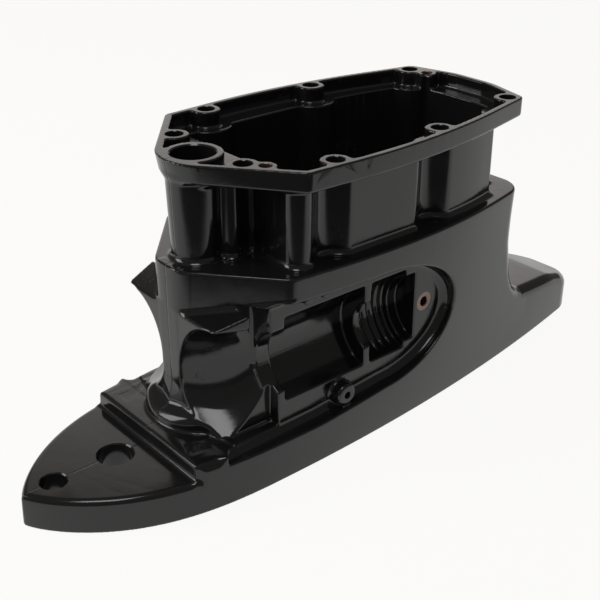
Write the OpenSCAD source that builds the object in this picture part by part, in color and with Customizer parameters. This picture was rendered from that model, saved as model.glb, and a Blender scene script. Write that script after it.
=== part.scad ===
// Outboard motor midsection: one aluminium casting between powerhead and gearcase.
// +X runs aft, +Y to port, +Z up. The origin is under the middle of the base flange.

/* [Base flange] */
// Length of the base flange from the nose tip to the tail end
base_l = 460; // [450:1:475]
// Greatest width of the base flange
base_w = 121; // [116:1:126]
// Distance from the nose tip to the widest station
nose_l = 145; // [140:1:150]
// Width that the base flange loses from its widest station to the tail end
tail_loss = 68; // [60:1:76]
// Length of the rounded tail end
tail_round = 25; // [18:1:32]
// Height of the nose pad
pad_h = 20.3; // [16:0.1:23]
// Height of the raised block behind the nose pad
block_h = 30.5; // [28:0.5:33]
// Distance from the nose tip to the step between pad and block
step_at = 81; // [76:1:86]
// Edge rounding of the nose pad
pad_round = 3.5; // [2:0.5:5]
// Radius of the large hole in the nose pad
pad_bore_r = 10.6; // [8:0.1:12]
// Distance of the large pad hole from the nose tip
pad_bore_at = 60.5; // [56:0.5:64]
// Radius of the small hole in the nose pad
pad_stud_r = 7.6; // [6:0.1:9]
// Distance of the small pad hole from the nose tip
pad_stud_at = 20.5; // [19:0.5:26]

/* [Body] */
// Height of the shelf at the foot of the upper box
shelf_z = 128.5; // [124:0.5:134]
// Distance from the nose tip to the flat front of the body
front_at = 102; // [99:1:105]
// Distance from the nose tip to the aft face of the body
aft_at = 350.5; // [347:0.5:354]
// Widening of each side wall at the shelf, midway along the body
side_flare = 9.5; // [6:0.5:12]
// Length over which the side walls are widened, from the widest station aft
flare_l = 234; // [220:2:250]
// Height at which the aft face starts to sweep out into the tail
sweep_z = 76; // [68:1:84]
// Height of the tail where the sweep has ended
tail_z = 41; // [38:0.5:44]
// Height of the tail at its end
tail_end_z = 20; // [16:0.5:24]
// Radius of the upright aft corners of the body at the shelf
aft_corner_r = 15; // [10:1:17]
// Distance from the driveshaft axis to the shoulders of the shelf
shelf_shoulder_at = 21.5; // [20:0.5:23]
// Distance from the driveshaft axis to where the shelf starts to narrow
shelf_mid_at = 124; // [120:1:128]
// Distance from the driveshaft axis to the widest part of the shelf
shelf_wide_at = 60; // [56:1:64]
// Distance from the driveshaft axis to the aft corners of the shelf
shelf_corner_at = 213.5; // [211:0.5:216]
// How far the aft corners of the shelf stand in from the flange half width
shelf_corner_in = 17.3; // [15.3:0.5:19.3]

/* [Top flange] */
// Height of the machined top face
height = 189.5; // [186:0.5:194]
// Thickness of the top flange at its outer edge
flange_t = 12; // [10:0.5:14]
// Half width of the top flange amidships
flange_half_w = 69.3; // [67.8:0.1:71]
// Width of the rim between the outer edge and the recess inside
rim_w = 4.5; // [3.5:0.25:5.5]
// Depth of the gasket ledge below the top face
ledge_depth = 9.8; // [8:0.2:11]
// How far the flange reaches forward of the driveshaft axis
flange_fore = 18.7; // [18:0.1:20]
// Distance from the driveshaft axis to the shoulders of the flange
flange_shoulder_at = 26.3; // [25:0.1:28]
// Distance from the driveshaft axis to the widest part of the flange
flange_wide_at = 80.7; // [76.7:0.5:84.7]
// Distance from the driveshaft axis to where the flange starts to narrow
flange_mid_at = 120.7; // [116.7:0.5:124.7]
// Distance from the driveshaft axis to where the flange narrows faster
flange_taper_at = 160.7; // [156.7:0.5:164.7]
// Distance from the driveshaft axis to the aft corners of the flange
flange_corner_at = 217.6; // [216:0.1:219]
// How far the aft corners of the flange stand in from its half width
flange_corner_in = 19.7; // [18:0.1:21]
// Distance from the driveshaft axis to the aft edge of the flange
flange_aft = 226.8; // [225:0.1:228]
// Distance from the driveshaft axis to the first pair of bolts
bolt1_at = 9.6; // [9:0.1:11]
// Distance of the first pair of bolts from the middle plane
bolt1_y = 32; // [31:0.5:33]
// Distance from the driveshaft axis to the second pair of bolts
bolt2_at = 51.1; // [49:0.1:53]
// How far the second pair of bolts stands in from the flange half width
bolt2_in = 10.5; // [10.2:0.1:11.3]
// Distance from the driveshaft axis to the third pair of bolts
bolt3_at = 133.1; // [130:0.1:136]
// How far the third pair of bolts stands in from the flange half width
bolt3_in = 12.2; // [11.8:0.1:13.2]
// Distance from the driveshaft axis to the fourth pair of bolts
bolt4_at = 209.6; // [208:0.1:211]
// How far the fourth pair of bolts stands in from the flange half width
bolt4_in = 26.4; // [25.4:0.1:27.4]
// Radius of the eight flange bolt holes
bolt_r = 5.2; // [4.2:0.1:5.6]
// Outer radius of the boss round each bolt hole
bolt_boss_r = 8.7; // [8:0.1:9.5]
// Radius of the two dowel holes
dowel_r = 3.6; // [3:0.1:4]
// Depth of the two dowel holes
dowel_depth = 8; // [6:0.5:9]
// Outer radius of the boss round each dowel hole
dowel_boss_r = 6.4; // [6:0.1:7]

/* [Driveshaft tube] */
// Radius of the tube seat in the top flange
tube_r = 12.7; // [11.5:0.1:13.2]
// Depth of the tube seat
tube_seat = 24; // [18:1:32]
// Radius of the driveshaft bore below the seat
shaft_r = 10; // [8:0.5:11]
// Outer radius of the upright tube column at the shelf
column_r = 14.6; // [14:0.1:16]
// Distance from the nose tip to the driveshaft axis
shaft_at = 124.3; // [123:0.1:126]

/* [Upper box] */
// Distance from the driveshaft axis to the flat front of the box
box_at = 26.2; // [25:0.1:28]
// Half width of the box at the shelf
box_half_w = 55.8; // [54.8:0.1:56.8]
// Rounding between the box walls and the scallops
scallop_edge_r = 5; // [2:0.5:6]
// How far the nose of the flange leans back over its thickness
flange_lean = 2.6; // [0:0.2:3]
// Half width of the web between the tube column and the box
web_half_w = 19.8; // [18:0.1:21]
// Thickness of the plate under the front of the top flange
front_plate_t = 2.5; // [2:0.1:3]
// Thickness of the box wall
wall = 4.5; // [4:0.25:5]
// Radius of the upright corners of the box
box_corner_r = 8.5; // [6:0.5:10]
// Radius of the upright scallop that clears each flange bolt
scallop_r = 11.3; // [10:0.1:11.8]

/* [Mount pockets] */
// Distance of the flat pocket face from the middle plane
face_y = 50; // [48:0.5:51]
// Height of the upper edge of the pocket
pocket_top = 113; // [110:0.5:115]
// Height of the lower edge of the pocket at the front
pocket_low = 25; // [23:0.5:26]
// Distance from the nose tip to the aft end of the pocket
pocket_aft = 278.5; // [274:0.5:282]
// Rounding at the foot of the pocket wall
pocket_fillet = 6; // [4:0.5:7]
// Height of the mount axis
mount_z = 73; // [71:0.5:75]
// Distance of the mount axis from the middle plane
mount_y = 57; // [55:0.5:58]
// Radius of the mount trough
trough_r = 28; // [25:0.5:28.5]
// Radius of the opening in the front web
web1_r = 21.5; // [18:0.5:22]
// Radius of the opening in the aft web
web2_r = 17; // [14:0.5:18]
// Distance from the nose tip to the front of the front web
web1_at = 136; // [134:0.5:138]
// Thickness of the front web
web1_t = 11; // [8:0.5:13]
// Distance from the nose tip to the front of the aft web
web2_at = 209; // [206:0.5:212]
// Thickness of the aft web
web2_t = 5.5; // [4:0.5:7]
// Length of the ringed chamber behind the aft web
chamber_l = 37; // [32:0.5:40]
// Depth of each of the three ring grooves in the chamber
ring_depth = 1.6; // [1:0.1:2]
// Width of each ring groove
ring_w = 2.6; // [2:0.1:3]
// Radius of the tapped hole aft of the chamber
tap_r = 3; // [2.5:0.1:3.5]
// Depth of the tapped hole
tap_depth = 12; // [8:0.5:15]
// Outer radius of the boss for the cover screw
screw_boss_r = 7.5; // [6.5:0.25:8]
// Radius of the two small lugs under the upper edge of the pocket
lug_r = 3; // [2.5:0.25:3.5]
// Radius of the cover screw hole
screw_r = 2.2; // [1.8:0.1:2.6]

/* [Wings and front channels] */
// Half width over the wing tips
wing_y = 42; // [40:0.5:44]
// Height of the wing tips
wing_z = 102.7; // [102:0.1:105]
// Rise of the upper face of a wing for each millimetre aft
wing_slope = 0.22; // [0.15:0.01:0.24]
// Half width of the channel mouth
mouth_a = 31; // [28:0.5:32]
// Half height of the channel mouth
mouth_b = 35; // [33:0.5:35.5]
// Height of the middle of the channel mouth
mouth_z = 66.5; // [65:0.5:66.5]
// Distance of the middle of the channel mouth from the middle plane
mouth_y = 40.5; // [39.5:0.5:42]
// Half width of the channel where it meets the front web
throat_a = 23; // [22.5:0.5:26]
// Half height of the channel where it meets the front web
throat_b = 28; // [26:0.5:28.5]
// How far the outer side of the channel mouth reaches past its middle, low down
lip_a = 11; // [9:0.5:14]
// Distance of the face beside the channel from the middle plane
set_back_y = 45; // [44:0.5:47]
// Half width of the keel that the column has in front
column_half = 9; // [8:0.5:10]
// How far the keel stands out in front of the column
keel = 2.3; // [1.5:0.1:3]
// Length of the sloping toe in front of the column
toe_l = 12; // [9:0.5:14]
// Half width of the toe
toe_w = 24; // [20:0.5:26]
// Height of the toe where it meets the column
toe_z = 44; // [41:0.5:46]
// Height of the toe at its front
toe_front_z = 35; // [33.5:0.5:37]

/* [Underside] */
// Width of the mating rim round the base
base_rim = 8; // [7:0.5:10]
// Thickness of the roof over the hollows in nose and tail
roof = 6; // [5:0.5:7]
// Half width of the exhaust passage between the mount troughs
passage_w = 22; // [18:0.5:23]
// Radius of the corners of the exhaust passage
passage_r = 8; // [6:0.5:10]

/* [Hidden] */
$fn = 72;
paint = [0.10, 0.10, 0.11];
over = 20;

nose_x = -base_l / 2;
tail_x = base_l / 2;
widest_x = nose_x + nose_l;
front_x = nose_x + front_at;
keel_x = front_x - keel;
step_x = nose_x + step_at;
shaft_x = nose_x + shaft_at;
box_x = shaft_x + box_at;
end_x = tail_x - tail_round;
aft_x = nose_x + aft_at;
flange_z = height - flange_t;
ledge_z = height - ledge_depth;
wing_top_z = wing_z + wing_slope * (web1_at - front_at);
web1_x = nose_x + web1_at;
trough_x = web1_x + web1_t;
web2_x = nose_x + web2_at;
chamber_x = web2_x + web2_t;
pocket_x = nose_x + pocket_aft;
tap_x = chamber_x + chamber_l + 9;

// Bolt axes on the port side, from the nose aft; starboard mirrors them
bolts = [[shaft_x + bolt1_at, bolt1_y], [shaft_x + bolt2_at, flange_half_w - bolt2_in],
         [shaft_x + bolt3_at, flange_half_w - bolt3_in],
         [shaft_x + bolt4_at, flange_half_w - bolt4_in]];
dowels = [[bolts[0][0] + 7.2, -bolts[0][1] - 10.1], [bolts[3][0] + 2.5, bolts[3][1] - 13.7]];

// Corners of the top flange on the port side: x, y and corner radius
flange_corners = [[shaft_x - flange_fore, 11.2, 31],
                  [shaft_x + flange_shoulder_at, flange_half_w - 3.2, 6],
                  [shaft_x + flange_wide_at, flange_half_w, 150],
                  [shaft_x + flange_mid_at, flange_half_w - 1.7, 150],
                  [shaft_x + flange_taper_at, flange_half_w - 7, 150],
                  [shaft_x + flange_corner_at, flange_half_w - flange_corner_in, 7],
                  [shaft_x + flange_aft, 16, 50]];
// The shelf follows the flange, a little further forward and rounder at its corners
shelf_corners = [[keel_x, 0.5, 0.5], [front_x + 1.5, 13, 25],
                 [shaft_x + shelf_shoulder_at, flange_half_w - 6.8, 18],
                 [shaft_x + shelf_wide_at, flange_half_w - 4.5, 90],
                 [shaft_x + shelf_mid_at, flange_half_w - 3.1, 90],
                 [shaft_x + shelf_corner_at, flange_half_w - shelf_corner_in, aft_corner_r],
                 [aft_x, 18, 40]];
// Corners of the upper box at the shelf
box_corners = [[box_x, 6, 1], [box_x, box_half_w - 0.4, box_corner_r],
               [shaft_x + flange_mid_at, box_half_w, 60],
               [shaft_x + flange_taper_at + 6, box_half_w - 3, 60],
               [shaft_x + flange_corner_at - 6, box_half_w - 13.5, 8],
               [shaft_x + flange_aft - 12, 14, 40]];

function mirrored(half) =
    concat(half, [for (i = [len(half) - 1 : -1 : 0]) [half[i][0], -half[i][1], half[i][2]]]);
function unit(v) = v / norm(v);
function turned(v) = [-v[1], v[0]];
function at(list, i) = list[(i + len(list)) % len(list)];
function xy(p) = [p[0], p[1]];

// A closed outline of corners moved inwards by d, none sharper than least; corners run clockwise
function inset(corners, d, least) = [for (i = [0 : len(corners) - 1])
    let (a = xy(at(corners, i - 1)), b = xy(corners[i]), c = xy(at(corners, i + 1)),
         u = unit(b - a), v = unit(c - b), n = -(turned(u) + turned(v)),
         m = b + n * d / (1 + u * v))
    [m[0], m[1], max(corners[i][2] - d, least)]];

// The same outline with every corner turned into an arc of steps + 1 points
function rounded(corners, steps = 5) = [for (i = [0 : len(corners) - 1])
    let (a = xy(at(corners, i - 1)), b = xy(corners[i]), c = xy(at(corners, i + 1)),
         r = corners[i][2], u = unit(b - a), v = unit(c - b),
         half = acos(max(-1, min(1, u * v))) / 2, side = (u[0] * v[1] - u[1] * v[0] < 0) ? -1 : 1,
         p = b - u * r * tan(half), centre = p + turned(u) * r * side)
    for (k = [0 : steps])
        let (turn = 2 * half * k / steps * side, s = p - centre)
        centre + [s[0] * cos(turn) - s[1] * sin(turn), s[0] * sin(turn) + s[1] * cos(turn)]];

function lifted(outline, z) = [for (p = outline) [p[0], p[1], z]];

// A solid skin over rings of equally many points, from the lowest ring to the highest
module skin(rings) {
    n = len(rings[0]);
    last = len(rings) - 1;
    sides = [for (k = [0 : last - 1], i = [0 : n - 1])
        let (a = k * n + i, b = k * n + (i + 1) % n)
        each [[a, b, b + n], [a, b + n, a + n]]];
    floor_face = [concat([0], [for (i = [n - 1 : -1 : 1]) i])];
    roof_face = [[for (i = [0 : n - 1]) last * n + i]];
    polyhedron([for (r = rings) each r], concat(sides, floor_face, roof_face), convexity = 10);
}

// Half width of the base flange: a pointed nose, a long taper and a rounded tail end
function base_half(x) = x < widest_x
    ? base_w / 2 * pow(1 - pow(min(1, (widest_x - x) / nose_l), 2.9), 0.8)
    : (base_w / 2 - tail_loss / 2 * pow((x - widest_x) / (base_l - nose_l - tail_round / 2), 2))
      * sqrt(1 - pow(max(0, x - end_x) / tail_round, 2));

// How far a side wall leans outwards (or, at the nose, inwards) up to the shelf
function lean(x) = x < widest_x
    ? -side_flare * 1.3 * min(1, (widest_x - x) / 45)
    : side_flare * sin(min(180, 180 * (x - widest_x) / flare_l));

// Rounding of the upright aft corners, fading out below the sweep
function corner_cut(x, z) =
    let (r = aft_corner_r * min(1, max(0, (z - sweep_z * 0.8) / (shelf_z - sweep_z))),
         d = min(1, max(0, (x - (aft_x - aft_corner_r - 2)) / (aft_corner_r + 2))))
    r * (1 - sqrt(1 - d * d));

function hull_half(x, z) = max(0.4, base_half(x) + lean(x) * z / shelf_z - corner_cut(x, z));

hull_stations = concat(
    [for (a = [86 : -9.5 : 0]) widest_x - nose_l * sin(a)],
    [for (i = [1 : 6]) widest_x + (aft_x - aft_corner_r - 2 - widest_x) * i / 6],
    [for (i = [1 : 4]) aft_x - aft_corner_r - 2 + (aft_corner_r + 2) * i / 4],
    [for (i = [1 : 4]) aft_x + (end_x - aft_x) * i / 4],
    [for (a = [22 : 22 : 88]) end_x + tail_round * sin(a)]);
function hull_ring(z) = concat(
    [[nose_x, 0, z]],
    [for (x = hull_stations) [x, hull_half(x, z), z]],
    [[tail_x, 0, z]],
    [for (i = [len(hull_stations) - 1 : -1 : 0])
        let (x = hull_stations[i]) [x, -hull_half(x, z), z]]);

// Outline of the nose pad at height z, moved inwards by d square to its edge
nose_stations = [for (x = hull_stations) if (x < step_x + 20) x];
function pad_side(x, z, d, s) =
    let (step = 0.5, rise = hull_half(x + step, z) - hull_half(x - step, z),
         v = x < nose_x + 2 ? [0.1, 1] : unit([2 * step, rise]))
    [x + d * v[1], s * (hull_half(x, z) - d * v[0]), z];
function pad_ring(z, d) = concat(
    [[nose_x + d, 0, z]],
    [for (x = nose_stations) pad_side(x, z, d, 1)],
    [for (i = [len(nose_stations) - 1 : -1 : 0]) pad_side(nose_stations[i], z, d, -1)]);

// What is kept of the nose: a pad with a rounded upper edge, and all that lies aft of the step
module nose_keep() {
    skin(concat([pad_ring(0, 0)],
                [for (a = [0 : 22.5 : 90])
                    pad_ring(pad_h - pad_round * (1 - sin(a)), pad_round * (1 - cos(a)))]));
    translate([step_x, -base_w, 0])
        cube([base_l, 2 * base_w, shelf_z]);
}

// Side view of the tail: the aft face, a concave sweep and the sloping top of the tail
tail_curve = concat(
    [[aft_x, shelf_z], [aft_x - 1.5, sweep_z + 14]],
    [for (k = [0 : 5]) let (a = 90 * k / 5, w = 27, h = sweep_z - tail_z)
        [aft_x + 0.5 + w * (1 - cos(a)), sweep_z - h * sin(a)]],
    [[aft_x + 66, tail_z - 6], [tail_x - 14, tail_end_z + 6], [tail_x - 5, tail_end_z + 1],
     [tail_x + 1, tail_end_z - 5], [tail_x + 1, 0]]);

module hull_body() {
    intersection() {
        skin([for (z = [0, 25, 62, 84, 106, shelf_z]) hull_ring(z)]);
        nose_keep();
        translate([0, base_w, 0])
            rotate([90, 0, 0])
                linear_extrude(2 * base_w)
                    polygon(concat(
                        [[nose_x - 1, 0], [nose_x - 1, pad_h], [step_x, pad_h],
                         [step_x, block_h], [front_x, block_h], [front_x, shelf_z]],
                        tail_curve));
    }
}

module shelf_outline() {
    polygon(rounded(mirrored(shelf_corners)));
}

// The body above the wings keeps to the wedge of the shelf
module wedge_cutter() {
    difference() {
        translate([front_x, 0, wing_z])
            rotate([0, -atan(wing_slope), 0])
                translate([-over, -base_w, 0])
                    cube([over + 66, 2 * base_w, 4 * over]);
        translate([0, 0, wing_z - over])
            linear_extrude(6 * over)
                shelf_outline();
    }
}

// The column comes to a shallow keel in front, which the wedge above carries on
module column_nose() {
    translate([0, 0, block_h - 1])
        linear_extrude(shelf_z - block_h + 1)
            polygon([[keel_x, 0], [front_x, column_half], [front_x + 4, column_half],
                     [front_x + 4, -column_half], [front_x, -column_half]]);
}

module toe() {
    reach = front_x - toe_l;
    intersection() {
        translate([0, 0, block_h - 2])
            linear_extrude(toe_z)
                polygon(rounded([[reach, -toe_w * 0.55, 9], [reach, toe_w * 0.55, 9],
                                 [front_x - 2, toe_w, 5], [front_x + 6, toe_w, 1],
                                 [front_x + 6, -toe_w, 1], [front_x - 2, -toe_w, 5]]));
        translate([reach, -toe_w - 1, toe_front_z])
            rotate([0, -atan((toe_z - toe_front_z) / toe_l), 0])
                translate([-over, 0, -2 * over])
                    cube([4 * over, 2 * toe_w + 2, 2 * over]);
    }
}

// Outline of the pocket in side view, moved inwards by d
function pocket_outline(d) =
    let (cz = (pocket_top + pocket_low + 6) / 2, b = pocket_top - cz - d)
    concat(
        [[front_x - 30, pocket_top - d]],
        [for (a = [90 : -11.25 : 0]) [pocket_x - 68.5 + (68.5 - d) * cos(a), cz + b * sin(a)]],
        [for (a = [-11.25 : -11.25 : -90]) [pocket_x - 58.5 + (58.5 - d) * cos(a), cz + b * sin(a)]],
        [[front_x + 66, pocket_low + 1.5 + d], [front_x - 30, pocket_low + d]]);

// The recess for the mount cover: an upright wall with a rounded foot
module pocket() {
    foot = [for (a = [0, 30, 60, 90]) [pocket_fillet * (1 - cos(a)), pocket_fillet * (1 - sin(a))]];
    rings = concat([[0, base_w]], [for (f = foot) [f[0], face_y + f[1]]]);
    skin([for (i = [len(rings) - 1 : -1 : 0])
        [for (p = pocket_outline(rings[i][0])) [p[0], -rings[i][1], p[1]]]]);
}

// Trough, webs and ringed chamber that hold one mount, all about the mount axis
module mount_seat() {
    translate([0, -mount_y, mount_z])
        rotate([0, 90, 0]) {
            translate([0, 0, trough_x])
                cylinder(r = trough_r, h = web2_x - trough_x);
            translate([0, 0, chamber_x])
                cylinder(r = trough_r, h = chamber_l);
            translate([0, 0, web1_x - 1])
                cylinder(r = web1_r, h = web1_t + 2);
            translate([0, 0, web2_x - 1])
                cylinder(r = web2_r, h = web2_t + 2);
            for (k = [0 : 2])
                translate([0, 0, chamber_x + 4 + k * 2.6 * ring_w])
                    cylinder(r = trough_r + ring_depth, h = ring_w);
        }
}

// The channel that lets the mount bolt out at the front, widening to its mouth
module front_channel() {
    n = 40;
    lip = front_x - toe_l - 2;
    // Ring from the innermost point round below; its outer lower quarter is narrower
    function section(x, y, z, a, b, c) = [for (i = [0 : n - 1])
        let (t = 360 * i / n - 180, w = (t < 0 && t > -90) ? c : a)
        [x, -y - w * cos(t), z + b * sin(t)]];
    function between(t) = section(
        front_x + (web1_x - front_x) * t,
        mouth_y + (mount_y - mouth_y) * t,
        mouth_z + (mount_z - mouth_z) * t,
        mouth_a + (throat_a - mouth_a) * sin(90 * t),
        mouth_b + (throat_b - mouth_b) * sin(90 * t),
        lip_a + (throat_a - lip_a) * sin(90 * t));
    skin(concat([section(lip, mouth_y, mouth_z, mouth_a, mouth_b, lip_a)],
                [for (k = [0 : 4]) between(k / 4)]));
}

// The face beside the channel stands further in than the face round the trough
module set_back() {
    translate([front_x - over, -base_w, pocket_low + pocket_fillet])
        cube([over + web1_x - front_x + web1_t / 2, base_w - set_back_y,
              mount_z - pocket_low - pocket_fillet]);
}

module screw_boss() {
    translate([web2_x - 20, -face_y + 2, pocket_low + 11])
        rotate([90, 0, 0])
            difference() {
                cylinder(r = screw_boss_r, h = 10);
                translate([0, 0, 1])
                    cylinder(r = screw_r, h = 10);
            }
}

// Two small lugs under the upper edge of the pocket
module lugs() {
    for (x = [web1_x + 24, web1_x + 37])
        translate([x, -face_y + 2, pocket_top - 4])
            rotate([90, 0, 0])
                cylinder(r = lug_r, h = 8);
}

module wing_cutter() {
    translate([front_x - over, -base_w, mouth_z])
        cube([over + web1_x - front_x, base_w - wing_y, wing_top_z - mouth_z]);
}

module both_sides() {
    children();
    mirror([0, 1, 0])
        children();
}

// Plan of the upper box: scallops round the bolts, with rounded edges
module box_plan() {
    offset(r = scallop_edge_r)
        offset(delta = -scallop_edge_r)
            difference() {
                polygon(rounded(mirrored(box_corners)));
                bolt_pattern()
                    circle(r = scallop_r);
            }
}

module box_walls() {
    translate([0, 0, shelf_z - 3])
        linear_extrude(flange_z - shelf_z + 4)
            box_plan();
}

// The web that joins the tube column to the flat front of the box
module front_web() {
    translate([0, 0, shelf_z - 3])
        linear_extrude(flange_z - shelf_z + 4)
            polygon(rounded(mirrored([[shaft_x, 10, 1], [shaft_x + 11.5, web_half_w - 2, 4],
                                      [shaft_x + 15, web_half_w, 4],
                                      [box_x + 4, web_half_w - 0.8, 1]])));
}

// A thicker underside where the flange stands out over the shelf at the front
module front_plate() {
    translate([0, 0, flange_z - front_plate_t])
        linear_extrude(front_plate_t + 1)
            difference() {
                polygon(rounded(inset(mirrored(flange_corners), 8, 2)));
                bolt_pattern()
                    circle(r = scallop_r - 1.3);
                translate([box_x + 6, -base_w])
                    square([base_l, 2 * base_w]);
            }
}

module bolt_pattern() {
    for (b = bolts, s = [-1, 1])
        translate([b[0], b[1] * s, 0])
            children();
}

module tube_column() {
    translate([shaft_x, 0, shelf_z - 3])
        cylinder(r1 = column_r, r2 = column_r + 1.6, h = flange_z - shelf_z + 4);
}

// The flange, with the face of its nose leaning back a little
module top_flange() {
    back = [[shaft_x - flange_fore + flange_lean, 11.2, 31]];
    rest = [for (i = [1:len(flange_corners) - 1]) flange_corners[i]];
    skin([lifted(rounded(mirrored(concat(back, rest))), flange_z),
          lifted(rounded(mirrored(flange_corners)), height)]);
}

// The recess inside the rim, down to the gasket ledge
module rim_recess() {
    translate([0, 0, ledge_z])
        linear_extrude(ledge_depth + 1)
            offset(r = 1.5)
                offset(delta = -1.5)
                    difference() {
                        polygon(rounded(inset(mirrored(flange_corners), rim_w, 2)));
                        for (b = bolts, s = [-1, 1])
                            translate([b[0], b[1] * s])
                                circle(r = bolt_boss_r);
                        for (d = dowels)
                            translate(d)
                                circle(r = dowel_boss_r);
                        translate([shaft_x, 0])
                            circle(r = tube_r + 4.3);
                        translate([shaft_x - 30, -8])
                            square([30, 16]);
                    }
}

// The cavity below the ledge, with a wall of one thickness all round
module box_cavity() {
    floor_z = pocket_top + wall;
    translate([0, 0, floor_z])
        linear_extrude(ledge_z + 1 - floor_z)
            offset(r = -wall)
                box_plan();
}

// Exhaust passage down between the mount troughs and out through the base
module passage() {
    aft_half = base_half(aft_x) - base_rim;
    aft_start = chamber_x + chamber_l + tap_depth + wall;
    translate([0, 0, -1])
        linear_extrude(pocket_top + wall + 2)
            offset(r = passage_r)
                offset(delta = -passage_r)
                    polygon([[trough_x + 6, -passage_w], [trough_x + 6, passage_w],
                             [aft_start, passage_w], [aft_start, aft_half],
                             [aft_x - base_rim, aft_half - 4], [aft_x - base_rim, 4 - aft_half],
                             [aft_start, -aft_half], [aft_start, -passage_w]]);
}

// Hollows under the nose pad and the tail, open to the mating face
module underside_hollows() {
    function half_at(x) = base_half(x) - base_rim;
    xs_nose = [for (i = [0 : 5]) nose_x + 14 + (step_x - 4 - nose_x - 14) * i / 5];
    xs_tail = [for (i = [0 : 4]) aft_x + (end_x - 4 - aft_x) * i / 4];
    difference() {
        translate([0, 0, -1])
            linear_extrude(pad_h - roof + 1)
                polygon(concat([for (x = xs_nose) [x, half_at(x)]],
                               [for (i = [5 : -1 : 0]) [xs_nose[i], -half_at(xs_nose[i])]]));
        for (x = [nose_x + pad_bore_at, nose_x + pad_stud_at])
            translate([x, 0, -2])
                cylinder(r = pad_bore_r + 5, h = pad_h);
    }
    translate([0, 0, -1])
        linear_extrude(tail_end_z - roof + 1)
            polygon(concat([for (x = xs_tail) [x, half_at(x)]],
                           [for (i = [4 : -1 : 0]) [xs_tail[i], -half_at(xs_tail[i])]]));
}

module bores() {
    bolt_pattern()
        translate([0, 0, flange_z - 1])
            cylinder(r = bolt_r, h = flange_t + 2);
    for (d = dowels)
        translate([d[0], d[1], height - dowel_depth])
            cylinder(r = dowel_r, h = dowel_depth + 1);
    translate([shaft_x, 0, height - tube_seat])
        cylinder(r = tube_r, h = tube_seat + 1);
    translate([shaft_x, 0, -1])
        cylinder(r = shaft_r, h = height);
    translate([nose_x + pad_bore_at, 0, -1])
        cylinder(r = pad_bore_r, h = pad_h + 2);
    translate([nose_x + pad_stud_at, 0, -1])
        cylinder(r = pad_stud_r, h = pad_h + 2);
    both_sides()
        translate([tap_x, -face_y - 1, mount_z])
            rotate([-90, 0, 0])
                cylinder(r = tap_r, h = tap_depth + 1);
}

module driveshaft_housing() {
    color(paint)
        difference() {
            union() {
                difference() {
                    union() {
                        hull_body();
                        toe();
                        column_nose();
                    }
                    wedge_cutter();
                    both_sides() {
                        pocket();
                        wing_cutter();
                        front_channel();
                        set_back();
                        mount_seat();
                    }
                }
                both_sides() {
                    screw_boss();
                    lugs();
                }
                box_walls();
                front_web();
                front_plate();
                tube_column();
                top_flange();
            }
            rim_recess();
            box_cavity();
            passage();
            underside_hollows();
            bores();
        }
}

driveshaft_housing();
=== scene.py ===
"""Looks of an outboard motor midsection: one gloss black casting with bare machined spots.

The casting's shape is a signed distance field in millimetres, in the frame of the CAD part, with the
fillets that a mould leaves. Its surface becomes one mesh, which is then machined with clean cuts.
"""

from __future__ import annotations

import logging
import math
from dataclasses import dataclass, field
from enum import Enum
from itertools import product
from typing import Sequence

import bmesh  # noqa: E402
import bpy  # noqa: E402
import numpy as np  # noqa: E402
from mathutils import Matrix, Vector  # noqa: E402

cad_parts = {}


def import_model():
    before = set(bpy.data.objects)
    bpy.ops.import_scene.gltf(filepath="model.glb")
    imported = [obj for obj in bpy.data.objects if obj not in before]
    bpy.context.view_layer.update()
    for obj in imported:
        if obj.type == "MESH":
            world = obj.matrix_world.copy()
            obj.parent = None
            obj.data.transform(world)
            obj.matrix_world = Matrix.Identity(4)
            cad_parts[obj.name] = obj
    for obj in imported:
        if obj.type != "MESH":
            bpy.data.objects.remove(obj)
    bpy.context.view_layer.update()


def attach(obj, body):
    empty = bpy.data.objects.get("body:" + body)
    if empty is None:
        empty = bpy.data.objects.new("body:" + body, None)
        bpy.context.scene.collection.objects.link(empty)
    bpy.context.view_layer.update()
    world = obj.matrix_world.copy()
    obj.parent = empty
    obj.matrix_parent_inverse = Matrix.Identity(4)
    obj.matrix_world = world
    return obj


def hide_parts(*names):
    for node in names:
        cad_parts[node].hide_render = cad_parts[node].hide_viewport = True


LOG = logging.getLogger("midsection")
MM = 0.001
NODE = "driveshaft_housing"
BODY = "root"
FINE_CELL = 0.9
Array = np.ndarray
Point = tuple[float, float]


class Side(Enum):
    """The two mirrored sides of the casting."""

    STARBOARD = -1.0
    PORT = 1.0


# ---------------------------------------------------------------- plane shapes


def arc_corner(a: Point, b: Point, c: Point, radius: float, steps: int) -> list[Point]:
    """Rounds the corner b of the path a, b, c.

    Args:
        a: The point before the corner.
        b: The corner.
        c: The point after the corner.
        radius: The corner's radius.
        steps: How many chords the arc has.

    Returns:
        The points of the arc, or the corner itself where there is nothing to round.
    """
    pa, pb, pc = np.array(a, float), np.array(b, float), np.array(c, float)
    u, v = pb - pa, pc - pb
    lu, lv = float(np.hypot(*u)), float(np.hypot(*v))
    if radius <= 0 or lu < 1e-6 or lv < 1e-6:
        return [b]
    u, v = u / lu, v / lv
    half = math.acos(max(-1.0, min(1.0, float(u @ v)))) / 2
    if half < 1e-3:
        return [b]
    turn = 1.0 if u[0] * v[1] - u[1] * v[0] > 0 else -1.0
    start = pb - u * radius * math.tan(half)
    centre = start + np.array([-u[1], u[0]]) * radius * turn
    s = start - centre
    out = []
    for k in range(steps + 1):
        t = 2 * half * turn * k / steps
        out.append((float(centre[0] + s[0] * math.cos(t) - s[1] * math.sin(t)),
                    float(centre[1] + s[0] * math.sin(t) + s[1] * math.cos(t))))
    return out


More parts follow.
